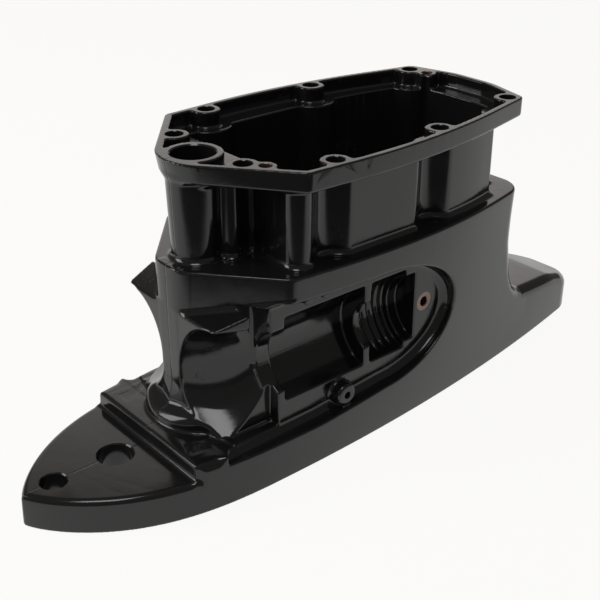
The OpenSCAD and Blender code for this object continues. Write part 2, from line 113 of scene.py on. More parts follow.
def rounded_loop(corners: Sequence[tuple[float, float, float]], steps: int = 12) -> Array:
    """Turns corners (x, y, radius) of a closed outline into a fine polygon.

    Args:
        corners: The corners in order.
        steps: Chords per corner.

    Returns:
        The polygon as an array of points.
    """
    n = len(corners)
    points: list[Point] = []
    for i in range(n):
        a, b, c = corners[i - 1], corners[i], corners[(i + 1) % n]
        points += arc_corner(a[:2], b[:2], c[:2], b[2], steps)
    return np.array(points)


def mirrored(half: Sequence[tuple[float, float, float]]) -> list[tuple[float, float, float]]:
    """Adds the mirror image, across the middle plane, of a run of corners (x, y, radius)."""
    return list(half) + [(x, -y, r) for x, y, r in reversed(half)]


def polygon_distance(px: Array, py: Array, loop: Array) -> Array:
    """Signed distance from points to a closed polygon, negative inside.

    Args:
        px: First coordinates of the points.
        py: Second coordinates of the points.
        loop: The polygon's points.

    Returns:
        The distances, in the shape of px.
    """
    x, y = px.ravel(), py.ravel()
    best = np.full(x.shape, 1e12)
    inside = np.zeros(x.shape, bool)
    for i in range(len(loop)):
        ax, ay = loop[i - 1]
        bx, by = loop[i]
        ex, ey = bx - ax, by - ay
        length = ex * ex + ey * ey
        if length < 1e-12:
            continue
        t = np.clip(((x - ax) * ex + (y - ay) * ey) / length, 0, 1)
        best = np.minimum(best, (x - ax - t * ex) ** 2 + (y - ay - t * ey) ** 2)
        crosses = (ay > y) != (by > y)
        if ay != by:
            inside ^= crosses & (x < ax + (y - ay) * ex / (by - ay))
    d = np.sqrt(best)
    d[inside] *= -1
    return d.reshape(px.shape).astype(np.float32)


# ---------------------------------------------------------------- field operations


def join(a: Array, b: Array, r: float | Array) -> Array:
    """Union of two fields, with a fillet of radius r where they meet."""
    return np.maximum(r, np.minimum(a, b)) - np.hypot(np.maximum(r - a, 0), np.maximum(r - b, 0))


def common(a: Array, b: Array, r: float | Array) -> Array:
    """What two fields share, with its edge rounded to radius r."""
    return np.minimum(-r, np.maximum(a, b)) + np.hypot(np.maximum(r + a, 0), np.maximum(r + b, 0))


def cut(a: Array, b: Array, r: float | Array) -> Array:
    """Field a without field b, with the new edge rounded to radius r."""
    return common(a, -b, r)


def smooth_step(x: Array | float, low: float, high: float) -> Array:
    """A soft step from 0 at low to 1 at high."""
    t = np.clip((np.asarray(x, np.float32) - low) / (high - low), 0, 1)
    return t * t * (3 - 2 * t)


@dataclass
class Grid:
    """The block of sample points that the field is worked out on, in millimetres."""

    low: tuple[float, float, float]
    high: tuple[float, float, float]
    cell: float

    def __post_init__(self) -> None:
        """Makes open axes, so that plane shapes stay cheap."""
        axes = [np.arange(a, b + self.cell, self.cell, dtype=np.float32)
                for a, b in zip(self.low, self.high)]
        self.x = axes[0][:, None, None]
        self.y = axes[1][None, :, None]
        self.z = axes[2][None, None, :]
        self.side = np.abs(self.y)

    def plan(self, loop: Array) -> Array:
        """Distance to an outline seen from above."""
        gx, gy = np.broadcast_arrays(self.x[:, :, 0], self.y[:, :, 0].reshape(1, -1))
        return polygon_distance(gx, gy, loop)[:, :, None]

    def profile(self, loop: Array) -> Array:
        """Distance to an outline seen from the side."""
        gx, gz = np.broadcast_arrays(self.x[:, 0, :], self.z[:, 0, :].reshape(1, -1))
        return polygon_distance(gx, gz, loop)[:, None, :]


@dataclass
class Field:
    """A field sampled on a grid."""

    values: Array
    grid: Grid

    def at(self, points: Array) -> Array:
        """Values at points in millimetres, by linear interpolation."""
        last = np.array(self.values.shape) - 1.001
        q = np.clip((points - np.array(self.grid.low)) / self.grid.cell, 0, last)
        i = q.astype(int)
        f = q - i
        out = np.zeros(len(points))
        for dx, dy, dz in product((0, 1), repeat=3):
            w = np.abs(1 - dx - f[:, 0]) * np.abs(1 - dy - f[:, 1]) * np.abs(1 - dz - f[:, 2])
            out += w * self.values[i[:, 0] + dx, i[:, 1] + dy, i[:, 2] + dz]
        return out

    def rise(self, points: Array, reach: float) -> Array:
        """How much the field rises along each axis, from one reach before to one reach after points."""
        return np.stack([self.at(points + e) - self.at(points - e) for e in np.eye(3) * reach], 1)

    def slope(self, points: Array) -> Array:
        """Unit slope of the field at points."""
        g = self.rise(points, self.grid.cell * 0.6)
        return g / np.maximum(np.linalg.norm(g, axis=1, keepdims=True), 1e-9)

    def net(self) -> tuple[Array, Array]:
        """Turns the zero level into quads.

        Returns:
            Vertices in millimetres, and quads that face outwards.
        """
        v = self.values.astype(np.float32)
        neg = v < 0
        nx, ny, nz = (n - 1 for n in v.shape)
        count = np.zeros((nx, ny, nz), np.uint8)
        for i, j, k in product((0, 1), repeat=3):
            count += neg[i:i + nx, j:j + ny, k:k + nz]
        cells = np.argwhere((count > 0) & (count < 8))
        index = np.full((nx, ny, nz), -1, np.int32)
        index[tuple(cells.T)] = np.arange(len(cells))
        total = np.zeros((len(cells), 3), np.float64)
        hits = np.zeros(len(cells), np.int32)
        for axis, p, q in product(range(3), (0, 1), (0, 1)):
            first, second = (a for a in range(3) if a != axis)
            start = cells.copy()
            start[:, first] += p
            start[:, second] += q
            end = start.copy()
            end[:, axis] += 1
            a, b = v[tuple(start.T)], v[tuple(end.T)]
            sign = (a < 0) != (b < 0)
            point = start.astype(np.float64)
            point[:, axis] += np.where(sign, a / np.where(sign, a - b, 1), 0)
            total[sign] += point[sign]
            hits += sign
        verts = total / hits[:, None] * self.grid.cell + np.array(self.grid.low)
        quads = []
        for axis, (a, b) in enumerate(((1, 2), (2, 0), (0, 1))):
            low, high = [slice(0, -1)] * 3, [slice(0, -1)] * 3
            high[axis] = slice(1, None)
            where = np.argwhere(neg[tuple(low)] != neg[tuple(high)])
            where = where[(where[:, a] > 0) & (where[:, b] > 0)]
            inner = neg[tuple(where.T)]
            corners = []
            for da, db in ((1, 1), (0, 1), (0, 0), (1, 0)):
                c = where.copy()
                c[:, a] -= da
                c[:, b] -= db
                corners.append(index[tuple(c.T)])
            quad = np.stack(corners, 1)
            quad[~inner] = quad[~inner][:, ::-1]
            quads.append(quad)
        return verts, np.concatenate(quads)

    def settle(self, verts: Array, rounds: int = 3) -> Array:
        """Moves vertices onto the zero level along the slope.

        Args:
            verts: Vertices near the surface, in millimetres.
            rounds: How many steps to take.

        Returns:
            The moved vertices.
        """
        h = self.grid.cell * 0.5
        for _ in range(rounds):
            d = self.at(verts)
            g = self.rise(verts, h) / (2 * h)
            size = np.maximum((g * g).sum(1, keepdims=True), 0.05)
            verts = verts - np.clip(g * (d[:, None] / size), -h, h)
        return verts


# ---------------------------------------------------------------- the casting


@dataclass
class CastingSizes:
    """Sizes of the casting in millimetres, as in the CAD part.

    Stations that end in _at are measured aft from the nose. Names that end in _r or _fillet are radii.
    """

    base_l: float = 460.0
    base_w: float = 121.0
    nose_l: float = 145.0
    step_at: float = 81.0
    front_at: float = 102.0
    shaft_at: float = 124.3
    web1_at: float = 136.0
    web2_at: float = 209.0
    pocket_at: float = 278.5
    aft_at: float = 350.5
    crisp_r: float = 0.5
    edge_r: float = 1.0
    soft_r: float = 2.0
    tail_loss: float = 68.0
    tail_round: float = 25.0
    pad_h: float = 20.3
    block_h: float = 30.5
    pad_round: float = 3.5
    shelf_z: float = 128.5
    shelf_edge_r: float = 1.5
    side_flare: float = 9.5
    flare_l: float = 234.0
    sweep_z: float = 76.0
    sweep_l: float = 27.0
    tail_z: float = 41.0
    tail_end_z: float = 20.0
    aft_corner_r: float = 15.0
    tail_top_r: float = 7.5
    plain_r: float = 1.6
    block_round: float = 6.5
    height: float = 189.5
    flange_t: float = 12.0
    flange_half: float = 69.3
    flange_lean: float = 2.6
    flange_edge_r: float = 1.8
    flange_root_r: float = 2.5
    rim_w: float = 4.5
    ledge_depth: float = 9.8
    recess_fillet: float = 3.0
    bolt_spots: tuple[Point, ...] = ((9.6, 37.3), (51.1, 10.5), (133.1, 12.2), (209.6, 26.4))
    dowel_spots: tuple[Point, ...] = ((16.8, -42.1), (212.1, 29.2))
    bolt_r: float = 5.2
    bolt_boss_r: float = 8.7
    dowel_r: float = 3.6
    dowel_boss_r: float = 6.4
    tube_r: float = 12.7
    shaft_r: float = 10.0
    column_r: float = 14.6
    box_at: float = 26.2
    box_half: float = 55.8
    box_root_r: float = 4.0
    web_half: float = 17.4
    wall: float = 4.5
    scallop_r: float = 11.3
    scallop_edge_r: float = 5.0
    plate_t: float = 2.5
    plate_inset: float = 8.0
    column_spread: float = 0.03
    face_y: float = 50.0
    pocket_top: float = 113.0
    pocket_low: float = 25.0
    pocket_fillet: float = 6.0
    pocket_edge_r: float = 1.2
    pocket_reach: float = 66.0
    mount_y: float = 57.0
    mount_z: float = 73.0
    trough_r: float = 28.0
    web1_t: float = 11.0
    web2_t: float = 5.5
    chamber_l: float = 37.0
    web1_r: float = 21.5
    web2_r: float = 17.0
    end_l: float = 8.0
    end_r: float = 24.0
    ring_depth: float = 0.9
    ring_w: float = 1.8
    tap_gap: float = 9.0
    tap_r: float = 3.0
    screw_r: float = 2.2
    screw_boss_r: float = 7.3
    screw_boss_h: float = 8.0
    lug_r: float = 3.0
    wing_y: float = 42.0
    wing_z: float = 102.0
    wing_slope: float = 0.27
    wing_splay: float = 0.27
    wing_edge_r: float = 1.4
    set_in_slope: float = 0.24
    mouth: tuple[float, float, float, float] = (31.0, 35.0, 40.5, 66.5)
    floor_z: float = 29.5
    floor_y: float = 39.6
    floor_out: float = 0.66
    floor_up: float = 0.30
    floor_curl: float = 0.013
    floor_fillet: float = 9.0
    floor_step: float = 1.2
    channel_edge_r: float = 1.8
    slot_w: float = 12.0
    slot_y: float = 34.0
    slot_z: float = 110.0
    throat: tuple[float, float, float, float] = (23.0, 28.0, 57.0, 73.0)
    set_back_y: float = 43.0
    column_half: float = 9.0
    keel: float = 2.3
    toe_x: float = -115.0
    toe_l: float = 25.0
    toe_w: float = 32.0
    toe_front_z: float = 36.4
    toe_tilt: float = 21.0
    toe_edge_r: float = 4.5
    toe_root_r: float = 2.5
    base_rim: float = 8.0
    roof: float = 6.0
    passage_w: float = 22.0
    hollow_margin: float = 4.0
    pad_bore: tuple[float, float] = (60.5, 10.6)
    pad_stud: tuple[float, float] = (20.5, 7.6)
    pad_boss_w: float = 5.0

    def __post_init__(self) -> None:
        """Works out the stations along the casting."""
        self.nose_x = -self.base_l / 2
        self.tail_x = self.base_l / 2
        self.widest_x = self.nose_x + self.nose_l
        self.step_x, self.front_x, self.shaft_x, self.web1_x, self.web2_x, self.pocket_x, self.aft_x = (
            self.nose_x + at for at in (self.step_at, self.front_at, self.shaft_at, self.web1_at,
                                        self.web2_at, self.pocket_at, self.aft_at))
        self.keel_x = self.front_x - self.keel
        self.end_x = self.tail_x - self.tail_round
        self.flange_z = self.height - self.flange_t
        self.ledge_z = self.height - self.ledge_depth
        self.trough_x = self.web1_x + self.web1_t
        self.chamber_x = self.web2_x + self.web2_t
        self.tap_x = self.chamber_x + self.chamber_l + self.tap_gap
        self.boss = (self.web2_x - 20, self.pocket_low + 11)
        self.wing_top_z = self.wing_z + self.wing_slope * (self.web1_x - self.front_x)
        self.pad_holes = [(self.nose_x + at, r) for at, r in (self.pad_bore, self.pad_stud)]
        self.bolts = [(self.shaft_x + at, self.flange_half - inset) for at, inset in self.bolt_spots]
        self.dowels = [(self.shaft_x + at, y) for at, y in self.dowel_spots]
        self.box_x = self.shaft_x + self.box_at

    def flange_corners(self, back: float = 0.0) -> list[tuple[float, float, float]]:
        """Corners of the top flange: x, y and radius, with the nose moved back by some distance."""
        s, w = self.shaft_x, self.flange_half
        return mirrored([(s - 18.7 + back, 11.2, 31), (s + 26.3, w - 3.2, 6), (s + 80.7, w, 380),
                         (s + 120.7, w - 1.7, 440), (s + 160.7, w - 7, 440), (s + 217.6, w - 19.7, 7),
                         (s + 226.8, 16, 50)])

    def shelf_corners(self) -> list[tuple[float, float, float]]:
        """Corners of the shelf at the foot of the upper box."""
        s, w = self.shaft_x, self.flange_half
        return mirrored([(self.keel_x, 0.5, 0.5), (self.front_x + 1.5, 13, 25), (s + 21.5, w - 6.8, 18),
                         (s + 60, w - 4.5, 500), (s + 124, w - 3.1, 230),
                         (s + 213.5, w - 17.3, self.aft_corner_r), (self.aft_x, 18, 40)])

    def box_corners(self) -> list[tuple[float, float, float]]:
        """Corners of the upper box."""
        s, w = self.shaft_x, self.box_half
        return mirrored([(self.box_x, 6, 1), (self.box_x, w - 0.4, 8.5), (s + 120.7, w, 400),
                         (s + 166.7, w - 3, 240), (s + 211.6, w - 13.5, 8), (s + 214.8, 14, 40)])

    def inset(self, distance: float, least: float) -> Array:
        """The flange outline moved inwards.

        Args:
            distance: How far each edge moves.
            least: Smallest radius that a corner keeps.

        Returns:
            The moved outline as a fine polygon.
        """
        corners = self.flange_corners()
        out = []
        for i, (bx, by, r) in enumerate(corners):
            a, b, c = (np.array(p[:2]) for p in (corners[i - 1], (bx, by), corners[(i + 1) % len(corners)]))
            u, v = (b - a) / np.hypot(*(b - a)), (c - b) / np.hypot(*(c - b))
            n = -np.array([-u[1] - v[1], u[0] + v[0]])
            m = b + n * distance / (1 + u @ v)
            out.append((float(m[0]), float(m[1]), max(r - distance, least)))
        return rounded_loop(out)

    def base_half(self, x: Array) -> Array:
        """Half width of the base flange at stations x."""
        ahead = np.clip((self.widest_x - x) / self.nose_l, 0, 1)
        nose = self.base_w / 2 * (1 - ahead ** 2.9) ** 0.8
        run = self.base_l - self.nose_l - self.tail_round / 2
        tail = self.base_w / 2 - self.tail_loss / 2 * (np.maximum(0, x - self.widest_x) / run) ** 2
        end = np.clip((x - self.end_x) / self.tail_round, 0, 1)
        return np.where(x < self.widest_x, nose, tail * np.sqrt(1 - end ** 2))

    def lean(self, x: Array) -> Array:
        """How far the side walls lean out by shelf height, at stations x."""
        ahead = -self.side_flare * 1.3 * np.clip((self.widest_x - x) / 45, 0, 1)
        aft = self.side_flare * np.sin(math.pi * np.clip((x - self.widest_x) / self.flare_l, 0, 1))
        return np.where(x < self.widest_x, ahead, aft)


@dataclass
class Casting:
    """The whole casting as a field, and the mesh made from it."""

    sizes: CastingSizes = field(default_factory=CastingSizes)
    cell: float = 1.0

    def __post_init__(self) -> None:
        """Lays out the sample points over the port half."""
        s = self.sizes
        pad = 3 * self.cell
        self.grid = Grid((s.nose_x - pad, 0.0, -pad), (s.tail_x + pad, s.flange_half + pad, s.height + pad),
                         self.cell)

    def hull(self) -> Array:
        """The base, body and tail: side walls by plan, tops by side view."""
        s, g = self.sizes, self.grid
        xs = np.concatenate([s.widest_x - s.nose_l * np.sin(np.radians(np.linspace(90, 0, 60))),
                             np.linspace(s.widest_x + 3, s.end_x, 60),
                             s.end_x + s.tail_round * np.sin(np.radians(np.linspace(3, 90, 24)))])
        half = s.base_half(xs)
        loop = np.concatenate([np.stack([xs, half], 1), np.stack([xs, -half], 1)[::-1]])
        margin = 20.0
        wide = Grid((g.low[0], -margin, 0), (g.high[0], g.high[1] + margin, 0), g.cell)
        table = wide.plan(loop)[:, :, 0]
        shift = s.lean(g.x) * np.clip(g.z, 0, s.shelf_z) / s.shelf_z
        place = (g.y - shift + margin) / g.cell
        low = np.clip(place.astype(np.int32), 0, table.shape[1] - 2)
        part = (place - low).astype(np.float32)
        row = np.arange(table.shape[0])[:, None, None]
        side = table[row, low] * (1 - part) + table[row, low + 1] * part
        above, below, drop = 400.0, -40.0, s.sweep_z - s.tail_z
        curve = [(s.aft_x + 0.4, above, 0.0), (s.aft_x + 0.2, s.shelf_z, 0.0),
                 (s.aft_x - 1.5, s.sweep_z + 14, 30.0)]
        for k in range(9):
            a = math.radians(90 * k / 8)
            curve.append((s.aft_x + 0.5 + s.sweep_l * (1 - math.cos(a)),
                          s.sweep_z - drop * math.sin(a), 0.0))
        curve += [(s.aft_x + 66, s.tail_z - 6, 90.0), (s.tail_x - 9, s.tail_end_z + 3.5, 14.0),
                  (s.tail_x + 3, s.tail_end_z - 8, 12.0), (s.tail_x + 3, below, 0.0),
                  (s.nose_x - 30, below, 0.0), (s.nose_x - 30, s.pad_h, 0.0), (s.step_x, s.pad_h, s.soft_r),
                  (s.step_x, s.block_h, 2.5), (s.front_x, s.block_h, 3.0), (s.front_x, above, 0.0)]
        profile = g.profile(rounded_loop(curve, 6))
        x, z = g.x, g.z
        aft = smooth_step(x, s.aft_x - 20, s.aft_x - 16)
        pad = 1 - smooth_step(x, s.step_x - 4, s.step_x)
        block = smooth_step(x, s.step_x - 2, s.step_x + 3) * (1 - smooth_step(x, s.front_x - 8, s.front_x - 1))
        rise = smooth_step(z, s.tail_z + 2, s.shelf_z - 12)
        tail = s.tail_top_r - s.plain_r + (s.aft_corner_r - s.tail_top_r) * rise
        round_r = (s.plain_r + (s.pad_round - s.plain_r) * pad + (s.block_round - s.plain_r) * block
                   + tail * aft)
        body = common(side, profile, round_r)
        return common(body, z - s.shelf_z, s.shelf_edge_r)

    def front(self, body: Array) -> Array:
        """Adds the column's keel and the toe, and cuts the wings' upper faces."""
        s, g = self.sizes, self.grid
        x, y, z = g.x, g.y, g.z
        keel = g.plan(np.array([(s.keel_x, 0.0), (s.front_x, s.column_half), (s.front_x + 6, s.column_half),
                                (s.front_x + 6, -s.column_half), (s.front_x, -s.column_half)]))
        body = join(body, common(keel, z - s.shelf_z, s.edge_r), s.edge_r)
        a = np.radians(np.linspace(90, 270, 41))
        plan = g.plan(np.concatenate([np.stack([s.toe_x + s.toe_l * np.cos(a), s.toe_w * np.sin(a)], 1),
                                      [(s.front_x + 30, -s.toe_w), (s.front_x + 30, s.toe_w)]]))
        tilt = math.radians(s.toe_tilt)
        top = (z - s.toe_front_z) * math.cos(tilt) - (x - s.toe_x + s.toe_l) * math.sin(tilt)
        toe = common(common(plan, top, s.toe_edge_r), x - s.front_x - 8, s.edge_r)
        slant = s.set_in_slope * (g.side - 20) * (1 - smooth_step(z, s.block_h + 4, s.block_h + 24))
        set_in = (x - s.front_x - slant) / math.hypot(1, s.set_in_slope)
        body = cut(body, common(set_in, s.block_h - z, s.crisp_r), s.crisp_r)
        body = join(body, toe, s.toe_root_r)
        wedge = g.plan(rounded_loop(s.shelf_corners()))
        slope = math.atan(s.wing_slope)
        wing = (z - s.wing_z) * math.cos(slope) - (x - s.front_x) * math.sin(slope)
        keep = np.minimum(join(wedge, wing, 3.0), s.front_x + s.pocket_reach - x)
        return common(body, keep, s.wing_edge_r)

    def pocket_loop(self) -> Array:
        """Outline of the mount pocket in side view."""
        s = self.sizes
        cz = (s.pocket_top + s.pocket_low + 6) / 2
        b = s.pocket_top - cz
        points = [(s.front_x - 1, s.pocket_top)]
        for turn, flat in ((range(0, -91, -3), 68.5), (range(-93, -181, -3), 58.5)):
            for degrees in turn:
                a = math.radians(90 + degrees)
                points.append((s.pocket_x - flat + flat * math.cos(a), cz + b * math.sin(a)))
        points += [(s.front_x + s.pocket_reach, s.pocket_low + 1.5), (s.front_x - 1, s.pocket_low)]
        return np.array(points)

    def slab(self, low: float, high: float, axis: Array) -> Array:
        """Distance to the layer between two planes across an axis."""
        return np.abs(axis - (low + high) / 2) - (high - low) / 2

    def mount_pocket(self, body: Array) -> Array:
        """Cuts the pocket, the channel to the front and the mount seat out of one side."""
        s, g = self.sizes, self.grid
        x, y, z = g.x, g.y, g.z
        pocket = common(g.profile(self.pocket_loop()), s.face_y - y, s.pocket_fillet)
        body = cut(body, pocket, s.pocket_edge_r)
        outer = s.wing_y + s.wing_splay * (x - s.front_x) - y
        tip = common(outer, self.slab(s.mouth[3], s.wing_top_z, z), s.edge_r)
        body = cut(body, common(tip, x - s.web1_x, s.edge_r), s.pocket_edge_r)
        slot = common(self.slab(s.web1_x - s.slot_w, s.web1_x, x), self.slab(s.mouth[3], s.slot_z, z),
                      s.edge_r)
        body = cut(body, common(slot, s.slot_y - y, s.soft_r), s.edge_r)
        t = np.clip((x - s.front_x) / (s.web1_x - s.front_x), 0, 1)
        grow = np.sin(t * math.pi / 2)
        a, b = (s.mouth[i] + (s.throat[i] - s.mouth[i]) * grow for i in range(2))
        u = y - (s.mouth[2] + (s.throat[2] - s.mouth[2]) * t)
        w = z - (s.mouth[3] + (s.throat[3] - s.mouth[3]) * t)
        u = np.where(w < 0, np.minimum(u, 0), u)
        w = np.maximum(w, 0)
        k0 = np.sqrt((u / a) ** 2 + (w / b) ** 2)
        k1 = np.sqrt((u / a ** 2) ** 2 + (w / b ** 2) ** 2) + 1e-6
        channel = np.clip(k0 * (k0 - 1) / k1, -40, 60)
        ahead = np.clip(x - s.front_x, -20, 40)
        floor = (s.floor_z + s.floor_out * (s.floor_y - y) + s.floor_up * ahead
                 + s.floor_curl * np.maximum(ahead, 0) ** 2)
        floor = np.maximum(floor, s.block_h + s.floor_step)
        channel = common(channel, (floor - z) / math.hypot(1, s.floor_out, s.floor_up), s.floor_fillet)
        channel = common(channel, x - s.web1_x, s.soft_r)
        channel = common(channel, s.toe_x - s.toe_l - 2 - x, s.edge_r)
        body = cut(body, channel, s.channel_edge_r)
        back = common(s.set_back_y - y, self.slab(s.pocket_low + s.pocket_fillet, s.mount_z, z), s.soft_r)
        back = common(back, x - s.web1_x - s.web1_t / 2, s.edge_r)
        body = cut(body, back, s.edge_r)
        radial = np.hypot(y - s.mount_y, z - s.mount_z)
        for r, low, high, soft, edge in (
                (s.trough_r, s.trough_x, s.web2_x, 1.5, 0.8),
                (s.trough_r, s.chamber_x, s.chamber_x + s.chamber_l - s.end_l, 1.5, 0.8),
                (s.end_r, s.chamber_x, s.chamber_x + s.chamber_l, 1.0, 0.8),
                (s.web1_r, s.web1_x - 3, s.trough_x + 3, 0.3, s.edge_r),
                (s.web2_r, s.web2_x - 3, s.chamber_x + 3, 0.3, 0.8)):
            body = cut(body, common(radial - r, self.slab(low, high, x), soft), edge)
        for k in range(3):
            low = s.chamber_x + 10 + k * 3.2 * s.ring_w
            ring = common(radial - s.trough_r - s.ring_depth, self.slab(low, low + s.ring_w, x), s.crisp_r)
            ring = common(ring, y - s.face_y + 5, s.crisp_r)
            body = cut(body, ring, 0.4)
        stem = common(np.hypot(x - s.boss[0], z - s.boss[1]) - s.screw_boss_r,
                      self.slab(s.face_y - 4, s.face_y + s.screw_boss_h, y), 2.2)
        body = join(body, stem, s.soft_r)
        for at in (s.web1_x + 24, s.web1_x + 37):
            lug = common(np.hypot(x - at, z - s.pocket_top + 4) - s.lug_r,
                         self.slab(s.face_y - 4, s.face_y + 6, y), s.edge_r)
            body = join(body, lug, 1.5)
        return body

    def box_plan(self) -> Array:
        """Distance to the upper box seen from above, with its scallops round the bolts."""
        s, g = self.sizes, self.grid
        plan = g.plan(rounded_loop(s.box_corners()))
        for bx, by in s.bolts:
            plan = cut(plan, np.hypot(g.x - bx, g.y - by) - s.scallop_r, s.scallop_edge_r)
        return plan

    def upper_box(self, body: Array) -> Array:
        """Adds the walls, the tube column, the web between them and the top flange."""
        s, g = self.sizes, self.grid
        x, y, z = g.x, g.y, g.z
        web = g.plan(rounded_loop(mirrored([(s.shaft_x, 10, 1), (s.shaft_x + 14, s.web_half, 3),
                                            (s.box_x + 4, s.web_half, 1)])))
        web = join(web, np.hypot(x - s.shaft_x - 13.8, g.side - s.web_half + 2.6) - 5.0, s.soft_r)
        spread = (z - s.shelf_z) * s.column_spread
        column = (np.hypot(x - s.shaft_x, y) - s.column_r - spread) / math.hypot(1, s.column_spread)
        walls = join(join(self.box_plan(), web, 3.0), column, 2.5)
        walls = common(walls, self.slab(s.shelf_z - 8, s.flange_z + 3, z), s.crisp_r)
        body = join(body, walls, s.box_root_r)
        part = np.clip((z - s.flange_z) / s.flange_t, 0, 1)
        low, high = (g.plan(rounded_loop(s.flange_corners(back))) for back in (s.flange_lean, 0.0))
        flange = common(low + (high - low) * part, s.flange_z - z, s.flange_edge_r)
        flange = common(flange, z - s.height, s.crisp_r)
        plate = common(g.plan(s.inset(s.plate_inset, s.soft_r)), x - s.box_x - 6, s.edge_r)
        for bx, by in s.bolts:
            plate = cut(plate, np.hypot(x - bx, y - by) - s.scallop_r + 1.3, s.edge_r)
        plate = common(plate, self.slab(s.flange_z - s.plate_t, s.flange_z + 3, z), 0.8)
        return join(body, join(flange, plate, s.edge_r), s.flange_root_r)

    def inside(self, body: Array) -> Array:
        """Cuts the cavity, the passage below it and the hollows under nose and tail."""
        s, g = self.sizes, self.grid
        x, y, z = g.x, g.y, g.z
        floor = s.pocket_top + s.wall
        hollow = self.box_plan() + s.wall
        body = cut(body, common(hollow, floor - z, 6.0), s.soft_r)
        half = float(s.base_half(np.array(s.aft_x))) - s.base_rim
        start = s.chamber_x + s.chamber_l + 12 + s.wall
        way = g.plan(rounded_loop(mirrored([(s.trough_x + 6, s.passage_w, 8), (start, s.passage_w, 6),
                                            (start, half, 8), (s.aft_x - s.base_rim, half - 4, 8)])))
        body = cut(body, common(way, z - floor - 1, s.edge_r), 1.5)
        for low, high, top in ((s.nose_x + 14, s.step_x - s.hollow_margin, s.pad_h - s.roof),
                               (s.aft_x, s.end_x - s.hollow_margin, s.tail_end_z - s.roof)):
            xs = np.linspace(low, high, 9)
            hw = s.base_half(xs) - s.base_rim
            loop = np.concatenate([np.stack([xs, hw], 1), np.stack([xs, -hw], 1)[::-1]])
            room = common(g.plan(loop), z - top, 3.0)
            for px, _ in s.pad_holes:
                room = cut(room, np.hypot(x - px, y) - s.pad_bore[1] - s.pad_boss_w, s.soft_r)
            body = cut(body, room, 0.8)
        return common(body, -z, s.crisp_r)

    def rim_recess(self, values: Array, grid: Grid) -> Array:
        """Cuts the recess inside the rim, on the whole width because the dowels differ."""
        s = self.sizes
        plan = grid.plan(s.inset(s.rim_w, s.soft_r))
        for bx, by in s.bolts:
            plan = cut(plan, np.hypot(grid.x - bx, grid.side - by) - s.bolt_boss_r, s.recess_fillet)
        for dx, dy in s.dowels:
            plan = cut(plan, np.hypot(grid.x - dx, grid.y - dy) - s.dowel_boss_r, s.recess_fillet)
        tube = np.hypot(grid.x - s.shaft_x, grid.y) - s.tube_r - 4.3
        neck = np.maximum(np.abs(grid.y) - 8, grid.x - s.shaft_x)
        plan = cut(plan, np.minimum(tube, neck), s.recess_fillet)
        return cut(values, common(plan, s.ledge_z - grid.z, 1.6), s.crisp_r)

    def field(self) -> Field:
        """Works out one half, mirrors it and cuts what isn't the same on both sides."""
        g = self.grid
        half = self.inside(self.upper_box(self.mount_pocket(self.front(self.hull())))).astype(np.float32)
        whole = np.concatenate([half[:, :0:-1], half], 1)
        low = (g.low[0], -(half.shape[1] - 1) * g.cell, g.low[2])
        reach = (whole.shape[0] - 1.5, half.shape[1] - 1.5, whole.shape[2] - 1.5)
        high = (low[0] + reach[0] * g.cell, reach[1] * g.cell, low[2] + reach[2] * g.cell)
        full = Grid(low, high, g.cell)
        return Field(self.rim_recess(whole, full), full)


# ---------------------------------------------------------------- nodes


def feed(tree: bpy.types.NodeTree, socket: bpy.types.NodeSocket, value: object) -> None:
    """Sets a socket, or links it to an output or to a node's first output."""
    if isinstance(value, bpy.types.Node):
        value = value.outputs[0]
    if isinstance(value, bpy.types.NodeSocket):
        tree.links.new(value, socket)
    else:
        socket.default_value = value


def add_node(tree: bpy.types.NodeTree, kind: str, settings: dict | None = None,
             **inputs: object) -> bpy.types.Node:
    """Adds a node, sets it and links it.

    Args:
        tree: The tree that gets the node.
        kind: The node's type.
        settings: Its own properties.
        **inputs: What each input is fed, by its name with _ for a blank, or by i and its number.

    Returns:
        The node.
    """
    node = tree.nodes.new(kind)
    for key, value in (settings or {}).items():
        setattr(node, key, value)
    for key, value in inputs.items():
        number = key[0] == "i" and key[1:].isdigit()
        feed(tree, node.inputs[int(key[1:]) if number else key.replace("_", " ")], value)
    return node


# ---------------------------------------------------------------- mesh work


def new_object(name: str, verts: Array, faces: Array) -> bpy.types.Object:
    """Makes a mesh object from vertices in millimetres.

    Args:
        name: Name of the object and its mesh.
        verts: Vertices in millimetres.
        faces: Faces as rows of vertex numbers.

    Returns:
        The object, at the origin and in metres.
    """
    mesh = bpy.data.meshes.new(name)
    width = faces.shape[1]
    mesh.vertices.add(len(verts))
    mesh.vertices.foreach_set("co", (np.asarray(verts) * MM).astype(np.float32).ravel())
    mesh.loops.add(faces.size)
    mesh.loops.foreach_set("vertex_index", faces.astype(np.int32).ravel())
    mesh.polygons.add(len(faces))
    mesh.polygons.foreach_set("loop_start", np.arange(0, faces.size, width, dtype=np.int32))
    mesh.update(calc_edges=True)
    mesh.validate()
    obj = bpy.data.objects.new(name, mesh)
    bpy.context.scene.collection.objects.link(obj)
    return obj


def apply_modifiers(obj: bpy.types.Object) -> None:
    """Turns an object's evaluated shape into its plain mesh and drops the modifiers."""
    graph = bpy.context.evaluated_depsgraph_get()
    made = bpy.data.meshes.new_from_object(obj.evaluated_get(graph), depsgraph=graph)
    old = obj.data
    obj.modifiers.clear()
    obj.data = made
    made.name = obj.name
    if old.users == 0:
        bpy.data.meshes.remove(old)


